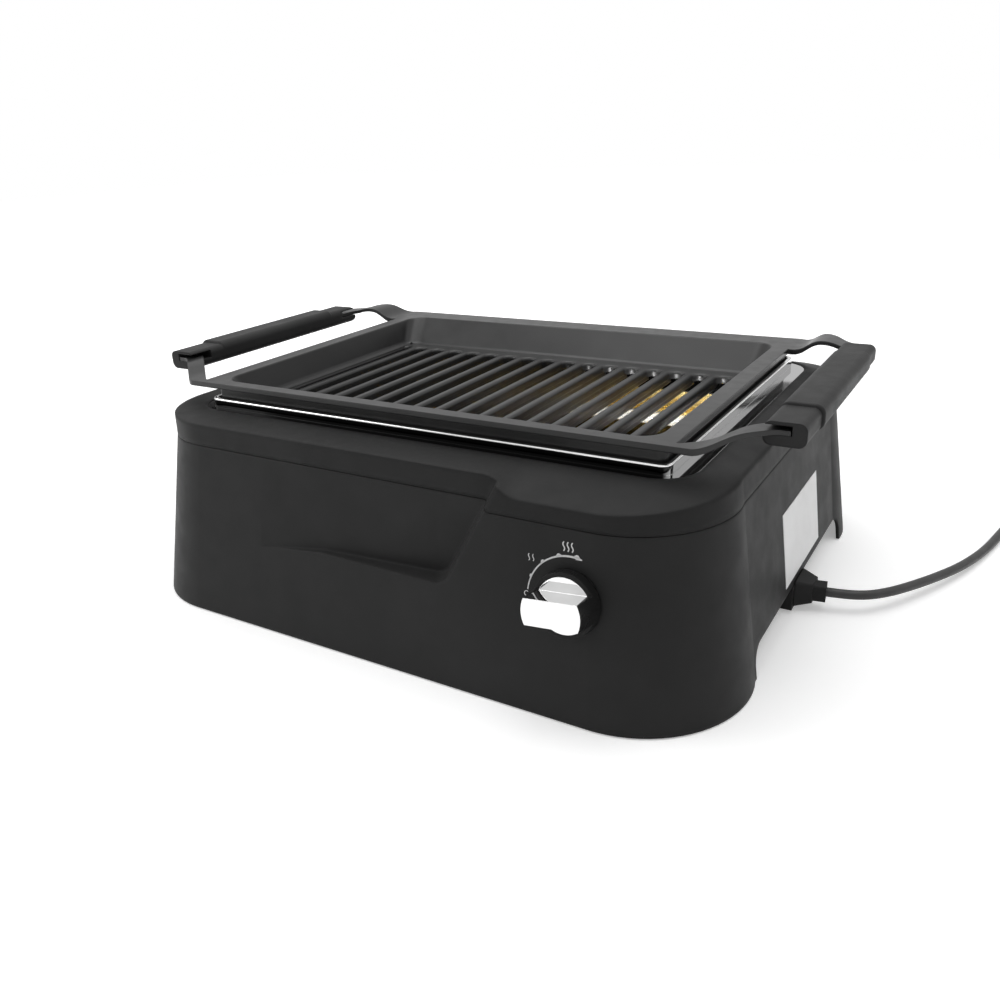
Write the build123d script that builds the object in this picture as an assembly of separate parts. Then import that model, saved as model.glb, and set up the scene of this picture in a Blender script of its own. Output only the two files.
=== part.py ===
from build123d import *
import math
import os

# Body, lower housing and top cover
outside = 300.0
floor_half_length = 237.7
floor_half_depth = 204.15
floor_corner_radius = 72.4
side_lean = 6.69
wall_lean = 8.02
left_front_drop = 24.75
left_front_at_seam = floor_half_depth - left_front_drop
corner_shrink = 0.0716
crease_half_depth = 111.0
housing_bottom = 1.0
left_seam_height = 124.7
right_seam_height = 120.2
seam_step_x = 87.0
seam_step_width = 6.0
right_wall_start = 99.0
wedge_back = 150.0
seam_gap = 0.5
deck_height = 141.0
deck_slope = 0.26
deck_slope_margin = 3.0
deck_slope_reach = 70.0
deck_step_x = 99.0
deck_step_half_width = 13.0
deck_step_reach = 60.0
deck_step_sections = 6
housing_wall = 2.8
cover_wall = 2.6
cover_bottom = 112.0

# Scoop in the front wall, left of the dial
scoop_left = 98.0
scoop_full_x = 50.0
scoop_setback = 24.15
scoop_depth_y = floor_half_depth - scoop_setback
scoop_ledge_height = 68.0
scoop_ledge_left_height = 60.5
scoop_ledge_bend_x = -40.0
scoop_corner_x = 54.5
scoop_side_slope = 22.0 / 37.0
scoop_bevel = 0.57
scoop_corner_round = 14.0
scoop_cut_back = 12.0
scoop_cut_front = 34.0
scoop_cut_bottom = 30.0
scoop_cut_top = 156.0
scoop_cut_left_reach = 14.0
scoop_end_x = 150.0

# Arches in the side walls
arch_height = 22.0
arch_front = 108.0
arch_rear = 122.0
arch_round = 12.0

# Deck opening and steel surround
opening_half_length = 200.0
opening_half_depth = 145.0
opening_radius = 25.0
flange_drop = 0.4
flange_fit = 0.4
lip_half_length = 187.0
lip_half_depth = 139.0
lip_radius = 7.0
lip_top = 147.6
lip_channel = 3.2
sheet = 0.8
lip_round = 1.3
liner_radius = 4.0
ledge_height = 132.0
ledge_width = 5.0
liner_bottom = 104.0

# Grill plate
plate_half_length = 190.0
plate_half_depth = 143.0
plate_corner = 9.0
plate_top = 161.0
rim_thickness = 4.0
rim_inner_round = 1.3
pan_half_length = 176.5
pan_front = 132.5
pan_rear = 120.0
pan_radius = 15.0
pan_floor = 139.5
pan_floor_half_length = 171.0
pan_floor_front = 121.0
pan_floor_rear = 101.0
pan_wall = 3.5
pan_thickness = 6.0
pan_floor_round = 5.0
bar_count = 17
bar_pitch = 19.6
bar_width = 7.0
bar_depth = 10.0
bar_root_width = 5.0
slot_rear = 88.0
slot_front = 108.0
slot_round = 2.6
outer_slot_width = 7.0
skirt_thickness = 2.5
skirt_clearance = 1.5
seat_gap = 0.1

# Handles
arm_width = 12.6
arm_thickness = 3.0
arm_start_x = 176.0
arm_root_width = 6.5
arm_bend_x = 203.0
arm_bend_radius = 9.0
arm_grip_x = 238.0
arm_grip_front = 112.3
arm_end_x = 247.0
arm_rise_start = 199.0
arm_rise_end = 229.0
arm_top_at_grip = 167.8
rear_arm_bend_x = 192.0
rear_arm_outer_y = 104.0
rear_arm_inner_y = 96.0
rear_arm_root_y = 108.0
rear_arm_inner_round = 3.0
rear_arm_outer_round = 6.0
rear_arm_rise_start = 192.0
rear_arm_crest_x = 218.0
rear_arm_crest = 170.4
rear_arm_rise_end = 236.0
grip_inner_x = 231.5
grip_outer_x = 256.2
grip_bottom = 158.5
grip_top = 172.8
grip_center_y = -9.25
grip_half_length = 103.25
grip_mid_half_length = 69.5
grip_rear_round = 5.0
grip_mid_proud = 1.8
grip_end_round = 5.0
grip_slot_top = 170.7
grip_slot_depth = 20.0
grip_screw_radius = 2.0
grip_screw_head_radius = 3.8
screw_head_fit = 0.2

# Knob and dial
knob_x = 149.5
knob_height = 77.4
knob_base_radius = 20.5
knob_front_radius = 18.7
knob_depth = 24.0
knob_gap = 0.8
knob_bar_width = 16.0
knob_floor = 8.0
knob_trim_radius = 17.2
knob_trim_thickness = 1.0
knob_off_angle = 185.0
shaft_radius = 3.0
shaft_fit = 0.05
bushing_radius = 4.8
nut_radius = 7.5
nut_height = 2.4
thermostat_width = 36.0
thermostat_height = 28.0
thermostat_depth = 18.0

# Heating chamber inside
chamber_floor = 40.0
chamber_gap = 0.2
chamber_top = 114.0
lamp_offset = 97.0
lamp_height = 95.0
lamp_radius = 5.5
lamp_wall = 1.0
lamp_half_length = 158.0
ribbon_width = 4.0
ribbon_thickness = 0.4
cap_length = 16.0
cap_size = 15.0
cap_overlap = 8.0
bracket_plate = 1.2
bracket_drop = 14.0
bracket_rise = 10.0
bracket_half_width = 11.0
reflector_sheet = 0.6
reflector_top = 110.5
reflector_low_height = 70.0
reflector_bend_height = 88.0
reflector_outer_offset = 112.0
reflector_inner_offset = 80.0
reflector_edge_offset = 62.0
reflector_edge_height = 84.0
reflector_edge_flat = 5.0
reflector_half_length = 150.0
reflector_foot = 10.0

# Drip tray
tray_half_length = 152.0
tray_half_depth = 56.0
tray_bottom = 46.0
tray_wall = 1.5
tray_wall_slope = 5.0
tray_rim_half_length = 160.0
tray_rim_half_depth = 65.0
tray_corner = 14.0

# Base plate, columns and feet
base_height = 24.0
base_thickness = 2.5
base_fit = 0.4
base_ledge_height = 3.0
base_ledge_width = 4.0
column_radius = 5.0
column_corner_x = 196.0
column_corner_y = 148.0
column_side_x = 209.5
column_side_y = -40.0
column_front_y = 160.0
screw_radius = 2.0
screw_head_radius = 3.8
screw_head_height = 2.2
foot_x = 196.0
foot_y = 122.0
foot_boss_radius = 13.0
foot_radius = 9.0
foot_height = 6.0
foot_recess = 2.0
vent_count = 13
vent_pitch = 14.0
vent_width = 5.0
vent_length = 60.0
post_x = 120.0
post_y = 90.0
post_radius = 7.0

# Mains lead and outlet
cord_radius = 3.4
cord_floor_gap = 0.1
outlet_height = 14.0
outlet_yaw = 8.0
outlet_flare_start = 235.6
outlet_flare_end = 247.0
outlet_neck_end = 255.0
outlet_flare_height = 20.0
outlet_flare_width = 26.0
outlet_neck_height = 12.0
outlet_neck_width = 13.0
outlet_boss_inner = 210.0
outlet_boss_width = 32.0
coil_x = 415.0
coil_y = 300.0
coil_radius = 46.0
coil_pitch = 8.8
coil_layer = 7.4
coil_half_turns = 5
plug_run = 24.0
plug_width = 27.0
plug_height = 21.4
plug_length = 26.0
plug_tail = 20.0
plug_tail_radius = 5.5
blade_width = 6.35
blade_thickness = 1.5
blade_length = 17.0
blade_spacing = 12.7
earth_pin_radius = 2.4
earth_pin_length = 20.0

# Wiring
terminal_x = 199.0
terminal_y = 38.0
terminal_length = 18.0
terminal_width = 27.0
terminal_height = 15.0
terminal_screw_radius = 2.2
wire_radius = 1.2

# Rating plate on the right side wall
plate_label_front = 33.5
plate_label_rear = 60.0
plate_label_bottom = 28.0
plate_label_top = 82.0
label_thickness = 0.3

nodes = {}
lead_nodes = ("cord_lead", "cord_coil", "mains_plug", "plug_pins")


def keep(name, *shapes):
    nodes[name] = list(shapes)


# Heights to outline sizes
def half_length_at(height):
    return floor_half_length - height * math.tan(math.radians(side_lean))


def half_depth_at(height):
    return floor_half_depth - height * math.tan(math.radians(wall_lean))


def left_front_at(height):
    lean = (floor_half_depth - left_front_at_seam) / left_seam_height
    return floor_half_depth - height * lean


def body_outline(height, front, inset=0.0):
    """Outline of the body: straight sides, big corners that end in a crease on each side wall."""
    x = half_length_at(height) - inset
    rear = half_depth_at(height) - inset
    near = front - inset
    corner = floor_corner_radius - corner_shrink * height - inset
    crease = crease_half_depth - inset / 2
    edges = []
    for side in (1, -1):
        edges.append(TangentArc((side * (x - corner), -near), (side * x, -crease), tangent=(side, 0)))
        edges.append(Line((side * x, -crease), (side * x, crease)))
        edges.append(TangentArc((side * (x - corner), rear), (side * x, crease), tangent=(side, 0)))
    edges.append(Line((-(x - corner), -near), (x - corner, -near)))
    edges.append(Line((-(x - corner), rear), (x - corner, rear)))
    return Pos(0, 0, height) * make_face(Wire(edges).edges())


def slab(x0, x1, y0, y1, z0, z1):
    return Pos((x0 + x1) / 2, (y0 + y1) / 2, (z0 + z1) / 2) * Box(x1 - x0, y1 - y0, z1 - z0)


def prism_y(points, y0, y1):
    """A prism along Y over a polygon of (x, z) points."""
    face = make_face(Polyline(*[(x, y0, z) for x, z in points], close=True))
    return extrude(face, amount=y1 - y0, dir=(0, 1, 0))


def section_x(x, points):
    return make_face(Polyline(*[(x, y, z) for y, z in points], close=True))


def rounded_slab(half_x, half_y, radius, z0, z1, y_shift=0.0):
    return Pos(0, y_shift, z0) * extrude(RectangleRounded(2 * half_x, 2 * half_y, radius), z1 - z0)


def rounded_loft(low, high):
    """Loft between two rounded rectangles, each given as half x, half y, radius, height, y shift."""
    faces = []
    for half_x, half_y, radius, height, y_shift in (low, high):
        faces.append(Pos(0, y_shift, height) * RectangleRounded(2 * half_x, 2 * half_y, radius))
    return loft(faces, ruled=True)


def scoop_profile(depth, grow):
    """Face of the scoop's cutter at a depth in front of its back wall."""
    ledge = scoop_ledge_height - grow
    corner_x = scoop_corner_x + grow + scoop_bevel * depth
    top = scoop_cut_top
    top_x = corner_x + (top - ledge) * scoop_side_slope
    left = -scoop_left - scoop_cut_left_reach
    y = -scoop_depth_y - depth
    points = [(left, top), (left, scoop_ledge_left_height - grow), (scoop_ledge_bend_x, ledge),
              (corner_x, ledge), (top_x, top)]
    face = make_face(Polyline(*points, close=True))
    round_vertex = face.vertices().sort_by_distance((corner_x, ledge, 0))[0]
    face = fillet(round_vertex, scoop_corner_round)
    return Plane(origin=(0, y, 0), x_dir=(1, 0, 0), z_dir=(0, -1, 0)) * face


def scoop_cutter(grow=0.0):
    """What the scoop takes away: a bevelled pocket whose back wall twists into the leaning front wall."""
    pocket = loft([scoop_profile(-scoop_cut_back, grow), scoop_profile(scoop_cut_front, grow)],
                  ruled=True)
    low = scoop_cut_bottom
    high = scoop_cut_top + 4.0
    lean_low = -left_front_at(low) + grow
    lean_seam = -left_front_at_seam + grow
    upright = -scoop_depth_y + grow
    front = -outside
    stations = [(-scoop_left, lean_low), (scoop_full_x, upright), (scoop_end_x, upright)]
    front_zone = None
    for (x0, y0), (x1, y1) in zip(stations, stations[1:]):
        sections = []
        for x, y in ((x0, y0), (x1, y1)):
            sections.append(section_x(x, [(y, low), (lean_seam, left_seam_height), (lean_seam, high),
                                          (front, high), (front, low)]))
        piece = loft(sections, ruled=True)
        front_zone = piece if front_zone is None else front_zone + piece
    return pocket & front_zone


def twist_wedge(inset):
    """Fills the front wall out from its steep left part to its less steep right part."""
    back = -wedge_back
    sections = []
    for x, share in ((-scoop_left, 0.0), (right_wall_start, 1.0)):
        top = left_seam_height
        extra = share * (half_depth_at(top) - left_front_at(top))
        sections.append(section_x(x, [(-floor_half_depth + inset, 0), (back, 0), (back, top),
                                      (-left_front_at(top) - extra + inset, top)]))
    return loft(sections, ruled=True)


def lower_mass(inset):
    left = loft([body_outline(0, floor_half_depth, inset),
                 body_outline(left_seam_height, left_front_at_seam, inset)], ruled=True)
    right = loft([body_outline(0, floor_half_depth, inset),
                  body_outline(left_seam_height, half_depth_at(left_seam_height), inset)], ruled=True)
    right = right & slab(right_wall_start, outside, -outside, outside, -10, outside)
    return left + right + twist_wedge(inset) - scoop_cutter(inset)


def parting_prism(gap):
    """Everything under the parting surface, which steps down at the right of the scoop."""
    left = left_seam_height - gap
    right = right_seam_height - gap
    points = [(-outside, -50), (-outside, left), (seam_step_x, left),
              (seam_step_x + seam_step_width, right), (outside, right), (outside, -50)]
    return prism_y(points, -outside, outside)


def column_places():
    corners = [(sx * column_corner_x, sy * column_corner_y) for sx in (1, -1) for sy in (1, -1)]
    sides = [(column_side_x, column_side_y), (-column_side_x, column_side_y),
             (0, column_front_y), (0, -column_front_y)]
    return corners + sides


# Lower housing
def lower_housing():
    outer = lower_mass(0.0)
    inner = lower_mass(housing_wall)
    shell = outer - inner
    low = base_height + base_thickness
    high = low + base_ledge_height
    deep = housing_wall + base_ledge_width
    ledge = loft([body_outline(low, half_depth_at(low), housing_wall - 0.5),
                  body_outline(high, half_depth_at(high), housing_wall - 0.5)], ruled=True)
    ledge_hole = loft([body_outline(low - 1, half_depth_at(low), deep),
                       body_outline(high + 1, half_depth_at(high + 1), deep)], ruled=True)
    shell = shell + (ledge - ledge_hole)
    shell = shell & parting_prism(0.0)
    shell = shell & slab(-outside, outside, -outside, outside, housing_bottom, 300)
    arch_points = [(-arch_front, -1), (-arch_front, arch_height), (arch_rear, arch_height), (arch_rear, -1)]
    arch_face = make_face(Polyline(*arch_points, close=True))
    tops = arch_face.vertices().sort_by(Axis.Y)[2:]
    arch_face = fillet(tops, arch_round)
    arch = Plane(origin=(-outside, 0, 0), x_dir=(0, 1, 0), z_dir=(1, 0, 0)) * extrude(arch_face, 2 * outside)
    shell = shell - arch
    panel = knob_plane()
    hole = panel * Pos(0, 0, -10) * Cylinder(bushing_radius + 0.2, 40)
    return shell - hole


def knob_plane():
    y = -half_depth_at(knob_height)
    lean = math.radians(wall_lean)
    return Plane(origin=(knob_x, y, knob_height), x_dir=(1, 0, 0),
                 z_dir=(0, -math.cos(lean), math.sin(lean)))


def deck_frustum(drop=0.0):
    """Solid under the sloping deck: a rounded frustum that widens downwards from the opening."""
    reach = deck_slope_reach
    top = deck_height - drop
    half_x = opening_half_length + deck_slope_margin
    half_y = opening_half_depth + deck_slope_margin
    radius = opening_radius + deck_slope_margin
    return rounded_loft((half_x + reach, half_y + reach, radius + reach, top - deck_slope * reach, 0),
                        (half_x, half_y, radius, top, 0))


def cover_mass(inset, drop):
    """Outer form of the top cover, or with an inset and a drop the space inside it."""
    low = cover_bottom
    top = deck_height + 3.0
    left = loft([body_outline(low, left_front_at_seam, inset),
                 body_outline(top, left_front_at_seam, inset)], ruled=True)
    right = loft([body_outline(low, half_depth_at(low), inset),
                  body_outline(top, half_depth_at(top), inset)], ruled=True)
    right = right & slab(0, outside, -outside, outside, 0, outside)
    mass = left + right - scoop_cutter(inset)
    mass = mass & slab(-outside, outside, -outside, outside, 0, deck_height - drop)
    above = slab(deck_step_x + deck_step_half_width, outside, -outside, outside, 60, 200)
    lowest = deck_height - drop - deck_slope_reach * deck_slope
    above = above - deck_frustum(drop) - slab(-outside, outside, -outside, outside, 0, lowest)
    mass = mass - above
    for side in (-1, 1):
        mass = mass - deck_step(side, drop)
    return mass


def deck_step(side, drop):
    """Soft step in the deck, from its level left part to its sloping right part."""
    start = opening_half_depth + deck_slope_margin
    end = start + deck_step_reach
    top = deck_height - drop
    sections = []
    for k in range(deck_step_sections + 1):
        share = k / deck_step_sections
        x = deck_step_x + (2 * share - 1) * deck_step_half_width
        fall = share ** 2 * (3 - 2 * share) * deck_slope * deck_step_reach
        sections.append(section_x(x, [(side * start, top), (side * end, top - fall),
                                      (side * end, top + 20), (side * start, top + 20)]))
    return loft(sections, ruled=True)


# Top cover
def top_cover():
    outer = cover_mass(0.0, 0.0)
    inner = cover_mass(cover_wall, cover_wall)
    hole = rounded_slab(opening_half_length, opening_half_depth, opening_radius, 60, 200)
    shell = (outer - inner - hole) - parting_prism(-seam_gap)
    half_wall = cover_mass(cover_wall / 2, cover_wall / 2)
    column_bottom = base_height + base_thickness
    for x, y in column_places():
        column = Pos(x, y, 0) * cylinder_between(column_radius, column_bottom, deck_height)
        above = slab(x - 20, x + 20, y - 20, y + 20, 113, 200) - half_wall
        bore = Pos(x, y, 0) * cylinder_between(screw_radius, column_bottom - 1, column_bottom + 16)
        shell = shell + (column - above) - bore
    return shell


# Steel surround
def ring(half_x, half_y, radius, wall, z0, z1):
    inner_radius = max(radius - wall, 0.6)
    outer = rounded_slab(half_x, half_y, radius, z0, z1)
    return outer - rounded_slab(half_x - wall, half_y - wall, inner_radius, z0 - 1, z1 + 1)


def steel_surround():
    flange_top = deck_height - flange_drop
    fit = flange_fit
    step_low = deck_height - cover_wall - seat_gap - sheet
    flange = rounded_slab(opening_half_length - fit, opening_half_depth - fit, opening_radius - fit,
                          flange_top - sheet, flange_top)
    flange = flange - rounded_slab(lip_half_length - sheet, lip_half_depth - sheet,
                                   lip_radius - sheet, 100, 200)
    drop = ring(opening_half_length - fit, opening_half_depth - fit, opening_radius - fit, sheet,
                step_low, flange_top)
    under = ring(opening_half_length + deck_slope_margin, opening_half_depth + deck_slope_margin,
                 opening_radius + deck_slope_margin, deck_slope_margin + fit + sheet,
                 step_low, step_low + sheet)
    lip = ring(lip_half_length, lip_half_depth, lip_radius, lip_channel, flange_top - sheet, lip_top)
    top_edges = lip.edges().group_by(Axis.Z)[-1]
    lip = fillet(top_edges, lip_round)
    hollow = ring(lip_half_length - sheet, lip_half_depth - sheet, lip_radius - sheet,
                  lip_channel - 2 * sheet, 100, lip_top - sheet)
    inner_x = lip_half_length - lip_channel
    inner_y = lip_half_depth - lip_channel
    inner_radius = lip_radius - lip_channel
    wall = ring(inner_x + sheet, inner_y + sheet, inner_radius + sheet, sheet,
                ledge_height - sheet, lip_top - lip_round - 0.2)
    ledge = ring(inner_x + sheet, inner_y + sheet, inner_radius + sheet, ledge_width + sheet,
                 ledge_height - sheet, ledge_height)
    liner = ring(inner_x - ledge_width + sheet, inner_y - ledge_width + sheet, liner_radius, sheet,
                 liner_bottom, ledge_height)
    return (lip - hollow) + flange + drop + under + wall + ledge + liner


# Grill plate
def floor_shift(front, rear):
    return (rear - front) / 2


def plate_slots():
    gap = bar_pitch - bar_width
    edge = bar_pitch * (bar_count - 1) / 2
    places = [(bar_pitch * (k + 0.5) - edge, gap) for k in range(bar_count - 1)]
    outer = edge + bar_width / 2 + outer_slot_width / 2
    return places + [(-outer, outer_slot_width), (outer, outer_slot_width)]


def grill_floor():
    low = pan_floor - pan_thickness
    half_y = (pan_floor_front + pan_floor_rear) / 2 + pan_wall
    shift = floor_shift(pan_floor_front, pan_floor_rear)
    floor = rounded_slab(pan_floor_half_length + pan_wall, half_y, pan_radius, low, pan_floor, shift)
    length = slot_front + slot_rear
    middle = (slot_rear - slot_front) / 2
    for x, width in plate_slots():
        slot = extrude(RectangleRounded(width, length, width / 2 - 0.6), 30)
        floor = floor - Pos(x, middle, low - 10) * slot
    outline = floor.edges().group_by(Axis.Z)[-1]
    inner_edges = [e for e in outline if abs(e.center().X) < pan_floor_half_length - 1
                   and -slot_front - 1 < e.center().Y < slot_rear + 1]
    return fillet(inner_edges, slot_round)


def pan_cutter():
    half_low = (pan_floor_front + pan_floor_rear) / 2
    half_high = (pan_front + pan_rear) / 2
    cutter = rounded_loft((pan_floor_half_length, half_low, pan_radius - 2, pan_floor,
                           floor_shift(pan_floor_front, pan_floor_rear)),
                          (pan_half_length, half_high, pan_radius, plate_top,
                           floor_shift(pan_front, pan_rear)))
    return fillet(cutter.edges().group_by(Axis.Z)[0], pan_floor_round)


def curved_edge(stations, end_x):
    """Lines through the stations, each span between two stations an S."""
    edges = [Line((arm_start_x - 5, stations[0][1]), stations[0])]
    for (x0, z0), (x1, z1) in zip(stations, stations[1:]):
        mid = (x0 + x1) / 2
        edges.append(Bezier((x0, z0), (mid, z0), (mid, z1), (x1, z1)))
    edges.append(Line(stations[-1], (end_x, stations[-1][1])))
    return edges


def bent_arm(plan_points, rounds, stations):
    """Flat arm with the plan's outline, its top raised through the stations."""
    face = make_face(Polyline(*plan_points, close=True))
    for number, radius in rounds:
        x, y = plan_points[number]
        face = fillet(face.vertices().sort_by_distance((x, y, 0))[0], radius)
    plan = Pos(0, 0, plate_top - 30) * extrude(face, 60)
    end_x = arm_end_x + 5
    thickness = [rim_thickness] + [arm_thickness] * (len(stations) - 1)
    under_stations = [(x, z - t) for (x, z), t in zip(stations, thickness)]
    start_x = arm_start_x - 5
    ends = [Line((start_x, under_stations[0][1]), (start_x, stations[0][1])),
            Line((end_x, under_stations[-1][1]), (end_x, stations[-1][1]))]
    edges = curved_edge(stations, end_x) + curved_edge(under_stations, end_x) + ends
    side = make_face(Wire(edges).edges())
    profile = Plane(origin=(0, 0, 0), x_dir=(1, 0, 0), z_dir=(0, -1, 0)) * side
    return plan & extrude(profile, amount=200, dir=(0, -1, 0), both=True)


def front_arm():
    """Front right arm, from the rim's front edge to the grip's front end."""
    y0 = -plate_half_depth
    grip_y = -arm_grip_front
    reach = (arm_grip_x - arm_bend_x, grip_y - y0)
    run = math.hypot(*reach)
    offset = (-reach[1] / run * arm_width, reach[0] / run * arm_width)
    back_y = y0 + arm_root_width
    back_bend = arm_bend_x + offset[0] + (back_y - y0 - offset[1]) * reach[0] / reach[1]
    back_grip_y = grip_y + arm_width
    back_grip = arm_grip_x + offset[0] + (back_grip_y - grip_y - offset[1]) * reach[0] / reach[1]
    points = [(arm_start_x, y0), (arm_bend_x, y0), (arm_grip_x, grip_y), (arm_end_x, grip_y),
              (arm_end_x, back_grip_y), (back_grip, back_grip_y), (back_bend, back_y), (arm_start_x, back_y)]
    rounds = [(1, arm_bend_radius), (2, arm_bend_radius), (5, arm_bend_radius), (6, arm_bend_radius)]
    return bent_arm(points, rounds, [(arm_rise_start, plate_top), (arm_rise_end, arm_top_at_grip)])


def rear_arm():
    """Rear right arm, wide at the rim, curved forward into the grip's rear end."""
    inside_y = grip_center_y + grip_half_length - grip_slot_depth + 3
    inner_x = arm_end_x - arm_width
    points = [(arm_start_x, plate_half_depth), (rear_arm_bend_x, plate_half_depth),
              (arm_end_x, rear_arm_outer_y), (arm_end_x, inside_y), (inner_x, inside_y),
              (inner_x, rear_arm_inner_y), (arm_start_x, rear_arm_root_y)]
    rounds = [(1, arm_bend_radius), (2, rear_arm_outer_round), (5, rear_arm_inner_round)]
    return bent_arm(points, rounds, [(rear_arm_rise_start, plate_top), (rear_arm_crest_x, rear_arm_crest),
                                     (rear_arm_rise_end, arm_top_at_grip)])


def grill_plate():
    rim = rounded_slab(plate_half_length, plate_half_depth, plate_corner,
                       plate_top - rim_thickness, plate_top)
    for arm in (front_arm(), rear_arm()):
        rim = rim + arm + mirror(arm, Plane.YZ)
    rim = rim - screw_holes(arm_top_at_grip - 10, arm_top_at_grip + 10, grip_screw_radius)
    wall_low = pan_floor - pan_thickness
    wall_high = plate_top - rim_thickness + 0.5
    skirt_x = lip_half_length - lip_channel - skirt_clearance
    skirt_y = lip_half_depth - lip_channel - skirt_clearance
    half_low = (pan_floor_front + pan_floor_rear) / 2 + pan_wall
    high_front = skirt_y
    high_rear = pan_rear + pan_wall
    walls = rounded_loft((pan_floor_half_length + pan_wall, half_low, pan_radius, wall_low,
                          floor_shift(pan_floor_front, pan_floor_rear)),
                         (skirt_x - skirt_thickness, (high_front + high_rear) / 2, pan_radius + 2, wall_high,
                          floor_shift(high_front, high_rear)))
    walls = walls - slab(-pan_floor_half_length + 3, pan_floor_half_length - 3,
                         -pan_floor_front + 3, pan_floor_rear - 3, 100, 200)
    skirt = ring(skirt_x, skirt_y, plate_corner - 4, skirt_thickness, ledge_height + seat_gap, wall_high)
    bars = None
    edge = bar_pitch * (bar_count - 1) / 2
    for k in range(bar_count):
        x = bar_pitch * k - edge
        blade = slab(x - bar_root_width / 2, x + bar_root_width / 2, -slot_front - 4, slot_rear + 4,
                     pan_floor - bar_depth, wall_low + 1)
        bars = blade if bars is None else bars + blade
    rim = rim - pan_cutter()
    inside = [edge for edge in rim.edges()
              if edge.center().Z > plate_top - 0.01 and abs(edge.center().X) < pan_half_length + 0.5
              and -pan_front - 0.5 < edge.center().Y < pan_rear + 0.5]
    rim = fillet(inside, rim_inner_round)
    return (rim + (walls + skirt - pan_cutter())) + grill_floor() + bars


def screw_holes(z0, z1, radius):
    """Rods at the four grip screws, to cut their holes or to make their shanks."""
    x = arm_end_x - arm_width / 2
    y = grip_half_length - arm_width / 2 - 3
    rods = [Pos(sx * x, grip_center_y + sy * y, 0) * cylinder_between(radius, z0, z1)
            for sx in (1, -1) for sy in (1, -1)]
    return rods[0] + rods[1] + rods[2] + rods[3]


def grip():
    front = grip_center_y - grip_half_length
    rear = grip_center_y + grip_half_length
    block = slab(grip_inner_x, grip_outer_x, front, rear, grip_bottom, grip_top)
    block = fillet(block.edges().filter_by(Axis.Z).sort_by_distance((grip_outer_x, rear, grip_top))[0],
                   grip_rear_round)
    block = fillet(block.edges().filter_by(Axis.Y), grip_end_round - 0.2)
    middle = slab(grip_inner_x, grip_outer_x + grip_mid_proud, grip_center_y - grip_mid_half_length,
                  grip_center_y + grip_mid_half_length, grip_bottom, grip_top + grip_mid_proud)
    middle = fillet(middle.edges().filter_by(Axis.Y), grip_end_round + 1)
    middle = fillet(middle.faces().sort_by(Axis.Y)[0].edges(), grip_mid_proud - 0.3)
    middle = fillet(middle.faces().sort_by(Axis.Y)[-1].edges(), grip_mid_proud - 0.3)
    body = block + middle
    slot_floor = arm_top_at_grip - arm_thickness
    for y0, y1 in ((front - 1, front + grip_slot_depth), (rear - grip_slot_depth, rear + 1)):
        body = body - slab(grip_inner_x - 1, arm_end_x + 0.8, y0, y1, slot_floor, grip_slot_top)
    body = body - screw_holes(grip_bottom - 1, grip_top - 3, grip_screw_radius)
    return body - screw_holes(grip_bottom - 1, grip_bottom + screw_head_height, grip_screw_head_radius)


def grip_screws():
    shanks = screw_holes(grip_bottom + 0.6, arm_top_at_grip, grip_screw_radius)
    heads = screw_holes(grip_bottom + 0.4, grip_bottom + screw_head_height,
                        grip_screw_head_radius - screw_head_fit)
    return shanks + heads


# Knob, turned to its off position
def turned(shape):
    spin = knob_off_angle - 180.0
    return knob_plane() * Rot(0, 0, spin) * shape


def cone(radius_low, radius_high, z0, z1):
    return Pos(0, 0, (z0 + z1) / 2) * Cone(radius_low, radius_high, z1 - z0)


def cylinder_between(radius, z0, z1):
    return Pos(0, 0, (z0 + z1) / 2) * Cylinder(radius, z1 - z0)


def trim_form():
    """The bright cap over the bar and both pocket floors, as a block with its outer faces."""
    half = knob_bar_width / 2
    thick = knob_trim_thickness
    floor = slab(-30, 30, -30, 30, knob_floor - thick, knob_floor)
    bar = slab(-30, 30, -half, half, knob_floor - thick, knob_depth)
    zone = cylinder_between(knob_trim_radius, 0, knob_floor)
    zone = zone + cone(knob_trim_radius, knob_front_radius - 0.15, knob_floor, knob_depth)
    return (floor + bar) & zone


def knob_trim():
    half = knob_bar_width / 2 - knob_trim_thickness
    core = slab(-30, 30, -half, half, 0, knob_depth - knob_trim_thickness)
    return trim_form() - core


def knob_body():
    solid = cone(knob_base_radius, knob_front_radius, knob_gap, knob_depth)
    half = knob_bar_width / 2
    for side in (-1, 1):
        y0 = side * half
        y1 = side * 30
        solid = solid - slab(-30, 30, min(y0, y1), max(y0, y1), knob_floor, 40)
    core_half = half - knob_trim_thickness
    core = slab(-30, 30, -core_half, core_half, 0, knob_depth - knob_trim_thickness)
    solid = solid - (trim_form() - core)
    solid = solid - cylinder_between(nut_radius + 3, -1, nut_height + 2.6)
    return solid - cylinder_between(shaft_radius, -1, knob_depth - 8)


def thermostat_shaft():
    return cylinder_between(shaft_radius, -housing_wall - thermostat_depth + 4, knob_depth - 8)


def thermostat_body():
    top = -housing_wall - 0.05
    body = Pos(0, 0, top - thermostat_depth / 2) * Box(thermostat_width, thermostat_height, thermostat_depth)
    body = body + cylinder_between(bushing_radius, top - 1, nut_height + 0.6)
    body = body + slab(-6, -3, -8, 8, top - thermostat_depth - 7, top - thermostat_depth + 1)
    body = body + slab(3, 6, -8, 8, top - thermostat_depth - 7, top - thermostat_depth + 1)
    return body - cylinder_between(shaft_radius + shaft_fit, top - thermostat_depth + 3, 20)


def thermostat_nut():
    nut = extrude(RegularPolygon(nut_radius, 6), nut_height)
    return Pos(0, 0, 0.05) * nut - cylinder_between(bushing_radius, -1, 10)


# Heating chamber
def chamber_half():
    x = lip_half_length - lip_channel - ledge_width + sheet + chamber_gap
    y = lip_half_depth - lip_channel - ledge_width + sheet + chamber_gap
    return x, y


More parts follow.
